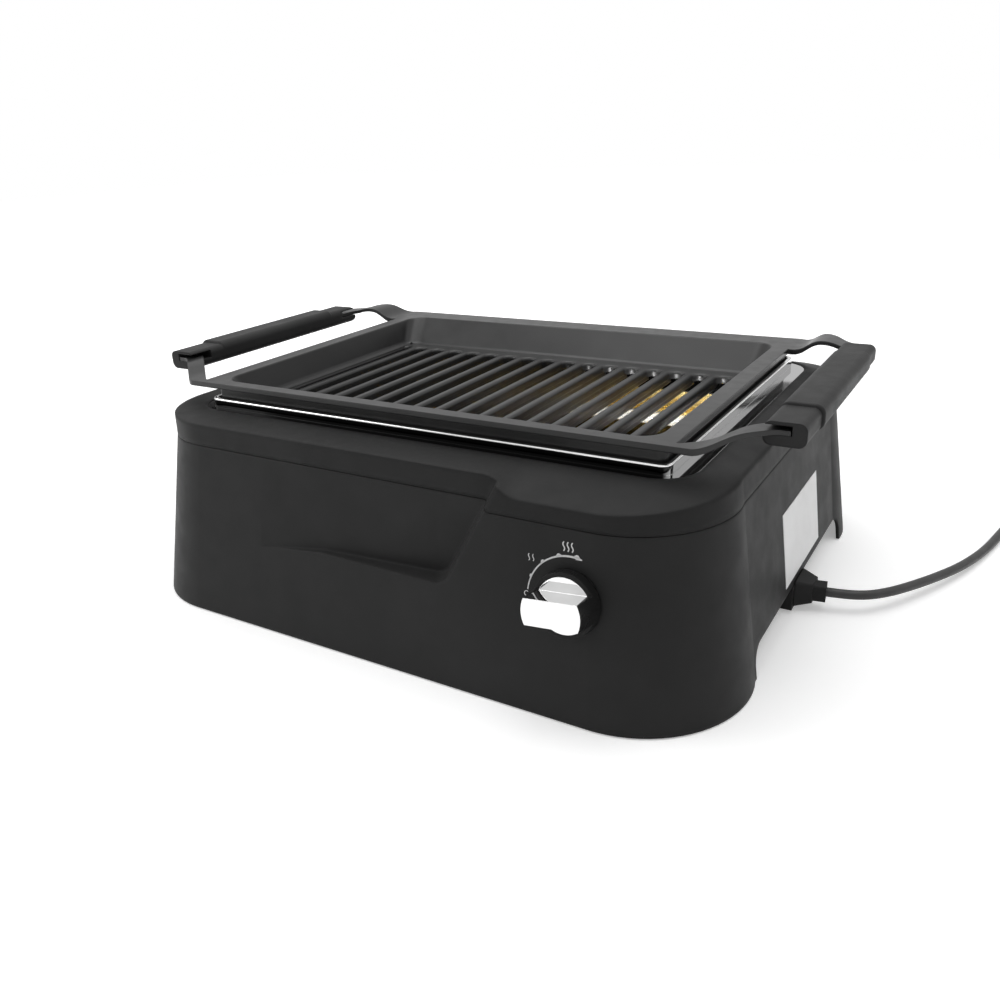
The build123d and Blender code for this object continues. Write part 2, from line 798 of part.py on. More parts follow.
def heating_chamber():
    x, y = chamber_half()
    walls = ring(x + sheet, y + sheet, liner_radius + chamber_gap + sheet, sheet, chamber_floor, chamber_top)
    floor = rounded_slab(x + sheet, y + sheet, liner_radius + chamber_gap + sheet,
                         chamber_floor, chamber_floor + sheet)
    body = walls + floor
    for px, py in post_places():
        body = body - Pos(px, py, chamber_floor) * Cylinder(screw_radius, 10)
    for side in (-1, 1):
        body = body - Pos(0, side * lamp_offset, lamp_height) * Rot(0, 90, 0) * Cylinder(3, 500)
    return body


def post_places():
    return [(sx * post_x, sy * post_y) for sx in (1, -1) for sy in (1, -1)]


def reflector():
    edge = lip_half_depth - lip_channel - ledge_width - reflector_sheet / 2 - seat_gap
    foot = chamber_floor + sheet + reflector_sheet / 2
    flat = reflector_edge_offset + reflector_edge_flat
    points = [(edge, reflector_top), (edge, reflector_bend_height),
              (reflector_outer_offset, reflector_low_height),
              (reflector_inner_offset, reflector_low_height), (flat, reflector_edge_height),
              (reflector_edge_offset, reflector_edge_height),
              (reflector_edge_offset, foot), (reflector_edge_offset + reflector_foot, foot)]
    path = FilletPolyline(*points, radius=[12.0, 18.0, 10.0, 1.2, 1.2, 1.0])
    face = trace(path, reflector_sheet)
    section = Plane(origin=(-reflector_half_length, 0, 0), x_dir=(0, 1, 0), z_dir=(1, 0, 0)) * face
    return extrude(section, amount=2 * reflector_half_length, dir=(1, 0, 0))


def lamp_tube():
    rod = Rot(0, 90, 0) * Cylinder(lamp_radius, 2 * lamp_half_length)
    bore = Rot(0, 90, 0) * Cylinder(lamp_radius - lamp_wall, 2 * lamp_half_length + 2)
    return Pos(0, lamp_offset, lamp_height) * (rod - bore)


def lamp_ribbon():
    return Pos(0, lamp_offset, lamp_height) * Box(2 * lamp_half_length, ribbon_width, ribbon_thickness)


def lamp_cap():
    """Ceramic end cap of the right end of the rear lamp."""
    start = lamp_half_length - cap_overlap
    block = slab(start, start + cap_length, lamp_offset - cap_size / 2, lamp_offset + cap_size / 2,
                 lamp_height - cap_size / 2, lamp_height + cap_size / 2)
    bore = Pos((start + lamp_half_length) / 2, lamp_offset, lamp_height) * Rot(0, 90, 0) * Cylinder(
        lamp_radius, lamp_half_length - start)
    return block - bore


def lamp_bracket():
    x = chamber_half()[0]
    start = lamp_half_length - cap_overlap + cap_length
    plate = bracket_plate
    low = lamp_height - bracket_drop
    y0 = lamp_offset - bracket_half_width
    y1 = lamp_offset + bracket_half_width
    body = slab(start, start + plate, y0, y1, low, lamp_height + bracket_rise)
    body = body + slab(start, x, y0, y1, low, low + plate)
    body = body + slab(x - plate, x, y0, y1, low, lamp_height - 4)
    return body - Pos(start, lamp_offset, lamp_height) * Rot(0, 90, 0) * Cylinder(3, 8)


def four_ways(shape):
    front = mirror(shape, Plane.XZ)
    return [shape, front, mirror(shape, Plane.YZ), mirror(front, Plane.YZ)]


# Drip tray
def drip_tray():
    rim_low = reflector_edge_height + reflector_sheet / 2 + seat_gap
    slope = tray_wall_slope
    outer = rounded_loft((tray_half_length - slope, tray_half_depth - slope, tray_corner - 3, tray_bottom, 0),
                         (tray_half_length, tray_half_depth, tray_corner, rim_low + tray_wall, 0))
    inner = rounded_loft((tray_half_length - slope - tray_wall, tray_half_depth - slope - tray_wall,
                          tray_corner - 3 - tray_wall, tray_bottom + tray_wall, 0),
                         (tray_half_length - tray_wall, tray_half_depth - tray_wall,
                          tray_corner - tray_wall, rim_low + tray_wall, 0))
    rim = rounded_slab(tray_rim_half_length, tray_rim_half_depth, tray_corner + 6, rim_low,
                       rim_low + tray_wall)
    inner = fillet(inner.edges().group_by(Axis.Z)[0], 3)
    return (outer + rim) - inner


# Base plate
def base_plate():
    low = base_height
    high = base_height + base_thickness
    outline = housing_wall + base_fit
    plate = loft([body_outline(low, left_front_at(high), outline),
                  body_outline(high, left_front_at(high), outline)], ruled=True)
    for sx in (1, -1):
        for sy in (1, -1):
            boss = Pos(sx * foot_x, sy * foot_y, 0) * cylinder_between(
                foot_boss_radius, foot_height - foot_recess, low + 0.5)
            recess = Pos(sx * foot_x, sy * foot_y, 0) * cylinder_between(foot_radius + 0.2, 0, foot_height)
            plate = plate + boss - recess
    for x, y in post_places():
        plate = plate + Pos(x, y, 0) * cylinder_between(post_radius, high - 0.5, chamber_floor)
        plate = plate - Pos(x, y, 0) * cylinder_between(screw_radius, high + 1, chamber_floor + 5)
    for x, y in column_places():
        plate = plate - Pos(x, y, 0) * cylinder_between(screw_radius + 0.2, low - 5, high + 5)
    for k in range(vent_count):
        x = vent_pitch * (k - (vent_count - 1) / 2)
        plate = plate - Pos(x, 0, low - 5) * extrude(RectangleRounded(vent_width, vent_length, 2.4), 20)
    wall_x = half_length_at(arch_height) - housing_wall
    half = outlet_boss_width / 2
    boss = slab(outlet_boss_inner, wall_x - 0.6, -half, half, 2.5, low + 0.5)
    boss = boss + slab(wall_x - 1, outlet_flare_start - seat_gap, -half, half, 2.5, arch_height - 0.6)
    room = slab(outlet_boss_inner + 3, outlet_flare_start - 4, -half + 3, half - 3, 5.5, high + 1)
    throat = slab(outlet_flare_start - 5, outlet_flare_start + 1, -outlet_neck_width / 2,
                  outlet_neck_width / 2, outlet_height - outlet_neck_height / 2,
                  outlet_height + outlet_neck_height / 2)
    return plate + boss - room - throat


def rubber_feet():
    pad = cylinder_between(foot_radius, 0, foot_height)
    pad = fillet(pad.edges().group_by(Axis.Z)[0], 1.0)
    return [Pos(sx * foot_x, sy * foot_y, 0) * pad for sx in (1, -1) for sy in (1, -1)]


def screw(x, y, seat, length, up=1):
    """A pan head screw whose head sits under its seat, or over it when up is -1."""
    shank = Pos(x, y, seat + up * length / 2) * Cylinder(screw_radius, length)
    head = Pos(x, y, seat - up * screw_head_height / 2) * Cylinder(screw_head_radius, screw_head_height)
    return shank + head


# Mains lead outlet
def strain_relief():
    inner = outlet_flare_start - 4
    z = outlet_height
    root = Pos(outlet_flare_start, 0, z) * Rot(0, 90, 0) * Rot(0, 0, 90) * Rectangle(
        outlet_flare_width, outlet_flare_height)
    tip = Pos(outlet_flare_end, 0.3, z) * Rot(0, 90, 0) * Rot(0, 0, 90) * Rectangle(
        outlet_neck_width + 3, outlet_neck_height + 3)
    flare = loft([root, tip], ruled=True)
    flare = fillet(flare.edges().filter_by(lambda e: e.length > 5 and abs(e.tangent_at(0.5).X) > 0.5), 2.0)
    body = flare + slab(inner, outlet_flare_start + 1, -outlet_neck_width / 2 + 0.1,
                        outlet_neck_width / 2 - 0.1, z - outlet_neck_height / 2 + 0.1,
                        z + outlet_neck_height / 2 - 0.1)
    body = body + slab(inner - 3, inner, -outlet_neck_width / 2 - 3, outlet_neck_width / 2 + 3,
                       z - 8, z + 8)
    neck = Box(outlet_neck_end - outlet_flare_end + 2, outlet_neck_width, outlet_neck_height)
    neck = fillet(neck.edges().filter_by(Axis.X), 2.0)
    middle = (outlet_neck_end + outlet_flare_end) / 2 - 1
    return body + Pos(middle, 0.3, z) * Rot(0, 0, outlet_yaw) * neck


def lead_path():
    yaw = math.radians(outlet_yaw)
    floor = cord_radius + cord_floor_gap
    z = outlet_height
    start = neck_end()
    coil_start = (coil_x - coil_radius, coil_y, floor)
    return [start, (start[0] + 14.7 * math.cos(yaw), start[1] + 14.7 * math.sin(yaw), z),
            (282.8, 10.6, 13.3), (293.8, 23.6, 12.2), (304.3, 40.6, 10.8), (317.6, 65.2, 8.9),
            (333.6, 100.0, 6.4), (346.3, 142.0, 3.9), (354.8, 184.0, floor), (363.0, 226.0, floor),
            (368.2, 264.0, floor), coil_start]


def neck_end():
    yaw = math.radians(outlet_yaw)
    middle = (outlet_neck_end + outlet_flare_end) / 2 - 1
    half = (outlet_neck_end - outlet_flare_end + 2) / 2
    return (middle + half * math.cos(yaw), 0.3 + half * math.sin(yaw), outlet_height)


def bend_radii(points):
    radii = []
    for a, b, c in zip(points, points[1:], points[2:]):
        first = Vector(*b) - Vector(*a)
        second = Vector(*c) - Vector(*b)
        turn = math.radians(first.get_angle(second))
        radii.append(0.45 * min(first.length, second.length) / math.tan(turn / 2))
    return radii


def cord_lead():
    points = lead_path()
    radii = bend_radii(points)
    path = FilletPolyline(*points, radius=radii)
    start = path @ 0
    tube = sweep(Plane(origin=start, z_dir=path % 0) * Circle(cord_radius), path=path)
    print("lead radii", [round(r, 1) for r in radii])
    print("lead length", round(path.length, 1), "volume share",
          round(tube.volume / (math.pi * cord_radius ** 2 * path.length), 4))
    return tube


# Coil, two layers of half turns joined by one climbing half turn
def coil_edges():
    low = cord_radius + cord_floor_gap
    high = low + coil_layer
    reach = [coil_radius - coil_pitch / 2 * k for k in range(coil_half_turns + 1)]
    west = [(coil_x + (-1) ** (k + 1) * r, coil_y) for k, r in enumerate(reach)]
    edges = []
    for k, (a, b) in enumerate(zip(west, west[1:])):
        heading = (0, 1, 0) if k % 2 == 0 else (0, -1, 0)
        edges.append(TangentArc((*a, low), (*b, low), tangent=heading))
    radius = reach[-1]
    side = (-1) ** (coil_half_turns + 1)
    turn = (-1) ** coil_half_turns
    crest = math.sqrt(radius ** 2 + coil_layer ** 2 / 4)
    start = (coil_x + side * radius, coil_y, low)
    middle = (coil_x, coil_y + turn * crest, (low + high) / 2)
    end = (coil_x - side * radius, coil_y, high)
    first = TangentArc(start, middle, tangent=(0, turn, 0))
    edges.append(first)
    edges.append(TangentArc(middle, end, tangent=first % 1))
    east = [(2 * coil_x - x, y) for x, y in reversed(west)]
    for k, (a, b) in enumerate(zip(east, east[1:])):
        heading = (0, -turn, 0) if k % 2 == 0 else (0, turn, 0)
        edges.append(TangentArc((*a, high), (*b, high), tangent=heading))
    last = east[-1]
    edges.append(Line((*last, high), (last[0], last[1] - plug_run, high)))
    return edges


def self_gap(wire):
    """Least gap of the tube to itself, from points along its path."""
    step = 2.0
    count = int(wire.length / step)
    points = [wire @ (k / count) for k in range(count + 1)]
    skip = int(math.pi * 3 * cord_radius / step)
    least = 1e9
    for i, p in enumerate(points):
        for q in points[i + skip:]:
            least = min(least, (p - q).length)
    return least - 2 * cord_radius


def cord_coil():
    wire = Wire(coil_edges())
    start = Plane(origin=wire @ 0, z_dir=wire % 0)
    tube = sweep(start * Circle(cord_radius), path=wire)
    print("coil length", round(wire.length, 1), "volume share",
          round(tube.volume / (math.pi * cord_radius ** 2 * wire.length), 4),
          "least gap", round(self_gap(wire), 2))
    return tube


def plug_origin():
    high = cord_radius + cord_floor_gap + coil_layer
    return (coil_x + coil_radius, coil_y - plug_run, high)


def mains_plug():
    """Moulded plug lying on the floor, its blades pointing away from the coil."""
    x, y, z = plug_origin()
    tail = loft([Plane(origin=(x, y, z), x_dir=(1, 0, 0), z_dir=(0, -1, 0)) * Circle(plug_tail_radius),
                 Plane(origin=(x, y - plug_tail, z), x_dir=(1, 0, 0), z_dir=(0, -1, 0))
                 * Circle(plug_height / 2 - 3)], ruled=True)
    body = slab(x - plug_width / 2, x + plug_width / 2, y - plug_tail - plug_length, y - plug_tail,
                z - plug_height / 2, z + plug_height / 2)
    body = fillet(body.edges().filter_by(Axis.Y), 4)
    return tail + body


def plug_pins():
    x, y, z = plug_origin()
    face = y - plug_tail - plug_length
    pins = []
    for side in (-1, 1):
        centre = x + side * blade_spacing / 2
        pins.append(slab(centre - blade_thickness / 2, centre + blade_thickness / 2, face - blade_length,
                         face, z + 3 - blade_width / 2, z + 3 + blade_width / 2))
    pin = Pos(x, face - earth_pin_length / 2, z - 6) * Rot(90, 0, 0) * Cylinder(earth_pin_radius,
                                                                              earth_pin_length)
    return pins + [pin]


def rating_plate():
    low = half_length_at(plate_label_bottom)
    high = half_length_at(plate_label_top)
    points = [(low, plate_label_bottom), (high, plate_label_top),
              (high + label_thickness, plate_label_top), (low + label_thickness, plate_label_bottom)]
    return prism_y(points, -plate_label_front, plate_label_rear)


# Wiring inside the housing
def soft_tube(points, radius, bend):
    path = FilletPolyline(*points, radius=[min(bend, r) for r in bend_radii(points)])
    return sweep(Plane(origin=path @ 0, z_dir=path % 0) * Circle(radius), path=path)


def terminal_block():
    high = base_height + base_thickness
    x1 = terminal_x + terminal_length / 2
    x0 = terminal_x - terminal_length / 2
    y0 = terminal_y - terminal_width / 2
    y1 = terminal_y + terminal_width / 2
    block = slab(x0, x1, y0, y1, high, high + terminal_height)
    for k in (-1, 0, 1):
        y = terminal_y + k * terminal_width / 3
        block = block - Pos(terminal_x, y, 0) * cylinder_between(
            terminal_screw_radius, high + terminal_height - 5, high + terminal_height + 1)
    return block


def terminal_screws():
    top = base_height + base_thickness + terminal_height
    return [Pos(terminal_x, terminal_y + k * terminal_width / 3, 0)
            * cylinder_between(terminal_screw_radius, top - 5, top - 1) for k in (-1, 0, 1)]


def inner_lead():
    """The lead inside the housing, from the strain relief to the terminal block."""
    start = outlet_flare_start - 7
    x = outlet_boss_inner + 3 + cord_radius + 0.8
    end_x = terminal_x + terminal_length / 2
    points = [(start, 0, outlet_height), (x, 0, outlet_height), (x, 3, 35), (x + 2, terminal_y, 35),
              (end_x, terminal_y, 35)]
    return soft_tube(points, cord_radius, 8.0)


def dial_wires():
    wires = []
    back = knob_plane().from_local_coords((0, 0, -housing_wall - 0.05 - thermostat_depth - 7))
    start_z = base_height + base_thickness + terminal_height
    x, y = chamber_half()
    for side in (-1, 1):
        lane = x + 15 + 2.5 * side
        rise = 72.0 + 4 * side
        end = (knob_x + 4.5 * side, back.Y, back.Z)
        foot = terminal_x + 4 * side
        points = [(foot, terminal_y - 8, start_z), (foot, terminal_y - 8, rise - 8),
                  (lane, -60, rise), (lane, -y - 6, rise + 2),
                  (knob_x + 14 + 4 * side, -y - 10, rise + 2),
                  (end[0], end[1] + 12, end[2] + 1.5), end]
        wires.append(soft_tube(points, wire_radius, 8.0))
    return wires


def lamp_wires():
    wires = []
    x, y = chamber_half()
    cap_end = lamp_half_length - cap_overlap + cap_length
    outside = x + 9
    low = (base_height + base_thickness + chamber_floor) / 2
    block_x = terminal_x - terminal_length / 2
    for side in (-1, 1):
        lamp_y = side * lamp_offset
        from_y = terminal_y + 6 * side
        top = base_height + base_thickness + terminal_height
        wires.append(soft_tube([(terminal_x - 6, from_y, top + 0.6), (outside, from_y, top + 12),
                                (outside, lamp_y - side * 12, lamp_height - 16),
                                (outside, lamp_y, lamp_height), (cap_end, lamp_y, lamp_height)],
                               wire_radius, 8.0))
        lane = terminal_y + 5 * side
        wires.append(soft_tube([(block_x, lane, low), (-outside, lane + side, low),
                                (-outside - 1, lamp_y - side * 10, low + 8), (-outside, lamp_y, lamp_height),
                                (-cap_end, lamp_y, lamp_height)],
                               wire_radius, 8.0))
    return wires


def thermal_fuse():
    x, y = chamber_half()
    disc = Pos(x + sheet, -30, lamp_height - 10) * Rot(0, 90, 0) * cylinder_between(7, 0, 4)
    ears = slab(x + sheet, x + sheet + 1, -42, -18, lamp_height - 13, lamp_height - 7)
    return disc + ears


# The frame's origin is the middle of the footprint of everything but the lead
def footprint_shift():
    boxes = [shape.bounding_box() for name, shapes in nodes.items() if name not in lead_nodes
             for shape in shapes]
    low = min(box.min.Y for box in boxes)
    high = max(box.max.Y for box in boxes)
    return -round((low + high) / 2, 1)


def build():
    keep("lower_housing", lower_housing())
    keep("top_cover", top_cover())
    keep("steel_surround", steel_surround())
    keep("base_plate", base_plate())
    keep("rubber_feet", *rubber_feet())
    keep("base_screws", *[screw(x, y, base_height, 16.0) for x, y in column_places()])
    keep("rating_plate", rating_plate())
    keep("grill_plate", grill_plate())
    right_grip = grip()
    keep("right_grip", right_grip)
    keep("left_grip", mirror(right_grip, Plane.YZ))
    keep("grip_screws", *grip_screws().solids())
    keep("knob_body", turned(knob_body()))
    keep("knob_trim", turned(knob_trim()))
    keep("thermostat_shaft", turned(thermostat_shaft()))
    keep("thermostat_body", knob_plane() * thermostat_body())
    keep("thermostat_nut", knob_plane() * thermostat_nut())
    keep("heating_chamber", heating_chamber())
    keep("chamber_screws", *[screw(x, y, chamber_floor + sheet, 9.0, -1) for x, y in post_places()])
    keep("rear_reflector", reflector())
    keep("front_reflector", mirror(reflector(), Plane.XZ))
    keep("rear_lamp", lamp_tube())
    keep("front_lamp", mirror(lamp_tube(), Plane.XZ))
    keep("lamp_ribbons", lamp_ribbon(), mirror(lamp_ribbon(), Plane.XZ))
    keep("lamp_caps", *four_ways(lamp_cap()))
    keep("lamp_brackets", *four_ways(lamp_bracket()))
    keep("drip_tray", drip_tray())
    keep("strain_relief", strain_relief())
    keep("terminal_block", terminal_block())
    keep("terminal_screws", *terminal_screws())
    keep("inner_lead", inner_lead())
    keep("dial_wires", *dial_wires())
    keep("lamp_wires", *lamp_wires())
    keep("thermal_fuse", thermal_fuse())
    keep("cord_lead", cord_lead())
    keep("cord_coil", cord_coil())
    keep("mains_plug", mains_plug())
    keep("plug_pins", *plug_pins())


build()

os.makedirs("parts", exist_ok=True)
shift = footprint_shift()
print("shift along Y", shift)
for name, shapes in nodes.items():
    placed = [Pos(0, shift, 0) * shape for shape in shapes]
    group = placed[0] if len(placed) == 1 else Compound(children=placed)
    print(name, round(group.volume / 1000, 2), len(group.solids()), group.is_valid)
    export_step(group, f"parts/{name}.step")
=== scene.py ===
import bpy
import math
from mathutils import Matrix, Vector


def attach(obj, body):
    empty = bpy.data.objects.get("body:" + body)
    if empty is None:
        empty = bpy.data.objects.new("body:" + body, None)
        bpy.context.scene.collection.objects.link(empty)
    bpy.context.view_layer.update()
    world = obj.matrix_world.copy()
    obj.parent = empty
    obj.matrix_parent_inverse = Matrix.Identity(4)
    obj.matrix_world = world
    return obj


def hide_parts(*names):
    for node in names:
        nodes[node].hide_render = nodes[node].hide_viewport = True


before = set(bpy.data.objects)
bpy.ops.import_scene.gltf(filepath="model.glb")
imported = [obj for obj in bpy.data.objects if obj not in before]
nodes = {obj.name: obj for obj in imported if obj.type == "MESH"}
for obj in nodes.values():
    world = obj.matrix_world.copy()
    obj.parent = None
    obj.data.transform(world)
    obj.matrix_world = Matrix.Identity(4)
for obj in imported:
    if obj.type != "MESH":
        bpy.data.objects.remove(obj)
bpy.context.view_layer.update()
scene = bpy.context.scene
scene.view_settings.view_transform = "Standard"

# Camera, at the photograph's viewing point
camera_place = (0.35714, -0.58822, 0.33067)
camera_turn = (67.37, 2.65, 30.86)
camera_lens = 32.27
camera_sensor = 36.0
camera_near = 0.01
camera_far = 50.0

# Mains lead, lying from the strain relief to its coil
cord_diameter = 0.0068
lead_route = [(0.25495, 0.0082, 0.014), (0.2695, 0.01024, 0.014), (0.2828, 0.0178, 0.0133),
              (0.2938, 0.0308, 0.0122), (0.3043, 0.0478, 0.0108), (0.3176, 0.0724, 0.0089),
              (0.3336, 0.1072, 0.0064), (0.3463, 0.1492, 0.0039), (0.3548, 0.1912, 0.0035),
              (0.3630, 0.2332, 0.0035), (0.3682, 0.2712, 0.0035)]
coil_centre = (0.415, 0.3072)
coil_outer = 0.046
coil_inner = 0.024
coil_low = 0.0035
coil_high = 0.0109
coil_layer_turns = 2.5
coil_climb_turns = 0.5
coil_points_per_turn = 16
plug_run = 0.024
curve_order = 3
curve_steps = 12
curve_ring_steps = 6

# Dial on the leaning front panel
dial_x = 0.1495
dial_y = -0.186045
dial_z = 0.0774
panel_lean = 8.02
mark_proud = 0.00008

# Arc round the dial, widening towards its tip, angles in degrees
arc_radius = 0.0274
arc_start = 176
arc_end = 84
arc_steps = 40
arc_width = 0.0007
arc_widening = 0.0005
tip_end = 76
tip_widths = (0.0022, 0.0006)

# Flat teeth on the arc, each larger than the one before
tooth_angles = (157, 131, 107, 83)
tooth_height = 0.0007
tooth_growth = 0.00022
tooth_spread = 3.4
tooth_spread_growth = 0.7
tooth_shoulder = 1.1
tooth_foot_rise = 0.0002
tooth_peak_rise = 0.0005

# Heat waves: places across, middle height, length, sway and line width
wave_steps = 14
heat_waves = [((-0.0273, -0.0245), 0.022, 0.0042, 0.00045, 0.0005),
              ((-0.0052, -0.0025, 0.0002), 0.0328, 0.0056, 0.0006, 0.0007)]

# Open ring at the start of the arc
ring_centre = (-0.028, -0.0008)
ring_radius = 0.0015
ring_start = 50
ring_end = 310
ring_steps = 14
ring_width = 0.0005

# Noise values over which a tone or a roughness changes
noise_span = (0.3, 0.7)

# Painted highlight along the lip and painted reflection along the right side of the steel
# surround
painted_lip_highlight_z = (0.1458, 0.1464)
painted_side_reflection_x = (0.183, 0.1855)
painted_side_reflection_level = 0.62

# Floor, which glows more with the distance from the object
floor_reach = 6.0
floor_tone = 0.9
floor_rough = 0.9
glow_distance = (0.5, 1.4)
glow_levels = (0.32, 1.0)

# World: what mirrors see from low to high, and the bounced light
mirror_heights = (0.1, 0.8)
mirror_levels = (0.7, 1.0)
diffuse_world = 0.42

# Lamps: name, place, aim, size, watts and spread in degrees
lamps = [("top_box", (0.0, 0.1, 1.5), (0.0, 0.0, 0.1), (1.6, 1.2), 16.0, 180.0),
         ("left_box", (-1.3, -0.7, 0.9), (0.0, 0.0, 0.1), (0.9, 0.9), 7.0, 180.0),
         ("right_box", (1.3, 0.5, 0.8), (0.1, 0.0, 0.1), (0.8, 0.9), 1.4, 180.0),
         ("slot_fill", (0.1, -0.02, 0.118), (0.1, 0.12, 0.1), (0.14, 0.02), 0.16, 50.0)]


def add_object(name, data):
    piece = bpy.data.objects.new(name, data)
    scene.collection.objects.link(piece)
    return piece


def add_mesh(name, verts, faces):
    mesh = bpy.data.meshes.new(name)
    mesh.from_pydata(verts, [], faces)
    mesh.update()
    return add_object(name, mesh)


def set_camera():
    data = bpy.data.cameras.new("camera")
    data.lens = camera_lens
    data.sensor_width = camera_sensor
    data.clip_start = camera_near
    data.clip_end = camera_far
    camera = add_object("camera", data)
    camera.location = camera_place
    camera.rotation_euler = [math.radians(a) for a in camera_turn]
    scene.camera = camera


# Mains lead
def coil_route():
    """Points round the two layers of the put-away coil, in and then out again."""
    total = 2 * coil_layer_turns + coil_climb_turns
    count = round(total * coil_points_per_turn)
    grow = 1 / math.cos(math.pi / coil_points_per_turn)
    points = []
    for k in range(count + 1):
        turns = k / coil_points_per_turn
        if turns <= coil_layer_turns:
            share = turns / coil_layer_turns
            radius = coil_outer + (coil_inner - coil_outer) * share
            height = coil_low
        elif turns <= coil_layer_turns + coil_climb_turns:
            share = (turns - coil_layer_turns) / coil_climb_turns
            radius = coil_inner
            height = coil_low + (coil_high - coil_low) * share
        else:
            share = (turns - coil_layer_turns - coil_climb_turns) / coil_layer_turns
            radius = coil_inner + (coil_outer - coil_inner) * share
            height = coil_high
        angle = math.pi - 2 * math.pi * turns
        points.append((coil_centre[0] + radius * grow * math.cos(angle),
                       coil_centre[1] + radius * grow * math.sin(angle), height))
    points[-1] = (coil_centre[0] + coil_outer, coil_centre[1], coil_high)
    points.append((coil_centre[0] + coil_outer, coil_centre[1] - plug_run, coil_high))
    return points


def make_cord():
    curve = bpy.data.curves.new("mains_cord", "CURVE")
    curve.dimensions = "3D"
    curve.resolution_u = curve_steps
    curve.bevel_depth = 1.0
    curve.bevel_resolution = curve_ring_steps
    curve.use_fill_caps = True
    points = lead_route + coil_route()
    spline = curve.splines.new("NURBS")
    spline.points.add(len(points) - 1)
    for place, point in zip(points, spline.points):
        point.co = (*place, 1.0)
        point.radius = cord_diameter / 2
    spline.order_u = curve_order
    spline.use_endpoint_u = True
    cord = add_object("mains_cord", curve)
    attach(cord, "base")
    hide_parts("cord_lead", "cord_coil")
    cord.data.materials.append(cord_jacket())


# Shader nodes
def add_node(tree, kind, **settings):
    node = tree.nodes.new(kind)
    for key, value in settings.items():
        setattr(node, key, value)
    return node


def mapped(tree, source, span, levels, kind="LINEAR"):
    """Turns a value over its span into a level."""
    node = add_node(tree, "ShaderNodeMapRange", interpolation_type=kind)
    for key, value in zip(("From Min", "From Max", "To Min", "To Max"), (*span, *levels)):
        node.inputs[key].default_value = value
    tree.links.new(source, node.inputs["Value"])
    return node.outputs["Result"]


def combined(tree, operation, first, second):
    node = add_node(tree, "ShaderNodeMath", operation=operation)
    tree.links.new(first, node.inputs[0])
    tree.links.new(second, node.inputs[1])
    return node.outputs[0]


# Materials
class Finish:
    """A Principled material with helpers for noise, ramps and bump, in object metres."""

    def __init__(self, name, **sockets):
        self.material = bpy.data.materials.new(name)
        self.material.use_nodes = True
        self.tree = self.material.node_tree
        self.shader = self.tree.nodes["Principled BSDF"]
        for key, value in sockets.items():
            self.shader.inputs[key.replace("_", " ")].default_value = value
        self.place = self.add("ShaderNodeTexCoord").outputs["Object"]
        self.normal = None

    def add(self, kind, **settings):
        return add_node(self.tree, kind, **settings)

    def join(self, source, target):
        self.tree.links.new(source, target)

    def stretched(self, scale):
        mapping = self.add("ShaderNodeMapping")
        mapping.inputs["Scale"].default_value = scale
        self.join(self.place, mapping.inputs["Vector"])
        return mapping.outputs["Vector"]

    def noise(self, scale, detail, rough=0.5, stretch=None):
        node = self.add("ShaderNodeTexNoise")
        node.inputs["Scale"].default_value = scale
        node.inputs["Detail"].default_value = detail
        node.inputs["Roughness"].default_value = rough
        self.join(self.stretched(stretch) if stretch else self.place, node.inputs["Vector"])
        return node.outputs["Fac"]

    def shade(self, source, dark, light, span=noise_span):
        ramp = self.add("ShaderNodeValToRGB")
        for stop, place, colour in zip(ramp.color_ramp.elements, span, (dark, light)):
            stop.position = place
            stop.color = (*colour, 1.0)
        self.join(source, ramp.inputs["Fac"])
        self.join(ramp.outputs["Color"], self.shader.inputs["Base Color"])

    def roughen(self, source, levels):
        self.join(mapped(self.tree, source, noise_span, levels), self.shader.inputs["Roughness"])

    def use_normal(self, normal):
        self.normal = normal
        self.join(normal, self.shader.inputs["Normal"])

    def soft_edges(self, radius):
        """Shade the edges as if they were rounded to this radius."""
        node = self.add("ShaderNodeBevel", samples=6)
        node.inputs["Radius"].default_value = radius
        self.use_normal(node.outputs["Normal"])

    def bump(self, source, depth, strength):
        node = self.add("ShaderNodeBump")
        node.inputs["Strength"].default_value = strength
        node.inputs["Distance"].default_value = depth
        self.join(source, node.inputs["Height"])
        if self.normal:
            self.join(self.normal, node.inputs["Normal"])
        self.use_normal(node.outputs["Normal"])


def grey(level):
    """Linear value of a display grey from 0 to 255."""
    share = level / 255
    linear = share / 12.92 if share <= 0.04045 else ((share + 0.055) / 1.055) ** 2.4
    return (linear,) * 3


def noisy(name, tone, dark, light, gloss, rough, bumps=(), edge=None, **sockets):
    """A material whose tone, roughness and bumps each follow a noise.

    tone and gloss hold a noise's scale and detail, and rough the two roughnesses. Each bump
    holds a noise's scale and detail, and the bump's depth and strength.
    """
    finish = Finish(name, **sockets)
    if edge:
        finish.soft_edges(edge)
    finish.shade(finish.noise(*tone), dark, light)
    finish.roughen(finish.noise(*gloss), rough)
    for scale, detail, depth, strength in bumps:
        finish.bump(finish.noise(scale, detail), depth, strength)
    return finish.material


def soft_plastic(name, dark, light, rough, grain_scale, depth, edge=0.0012):
    return noisy(name, tone=(14.0, 4.0), dark=grey(dark), light=grey(light),
                 gloss=(60.0, 3.0), rough=(rough - 0.05, rough + 0.05),
                 bumps=[(grain_scale, 2.0, depth, 0.5), (25.0, 2.0, depth * 2, 0.12)],
                 edge=edge, Specular_IOR_Level=0.12)


def body_plastic():
    return soft_plastic("body_plastic", dark=37, light=42, rough=0.52, grain_scale=2600.0,
                        depth=0.00006, edge=0.003)


def cover_plastic():
    return soft_plastic("cover_plastic", dark=34, light=39, rough=0.54, grain_scale=2600.0,
                        depth=0.00006, edge=0.005)


def base_plastic():
    return soft_plastic("base_plastic", dark=34, light=40, rough=0.55, grain_scale=1800.0,
                        depth=0.00008)


def grip_plastic():
    return soft_plastic("grip_plastic", dark=40, light=48, rough=0.5, grain_scale=1500.0,
                        depth=0.0001, edge=0.0015)


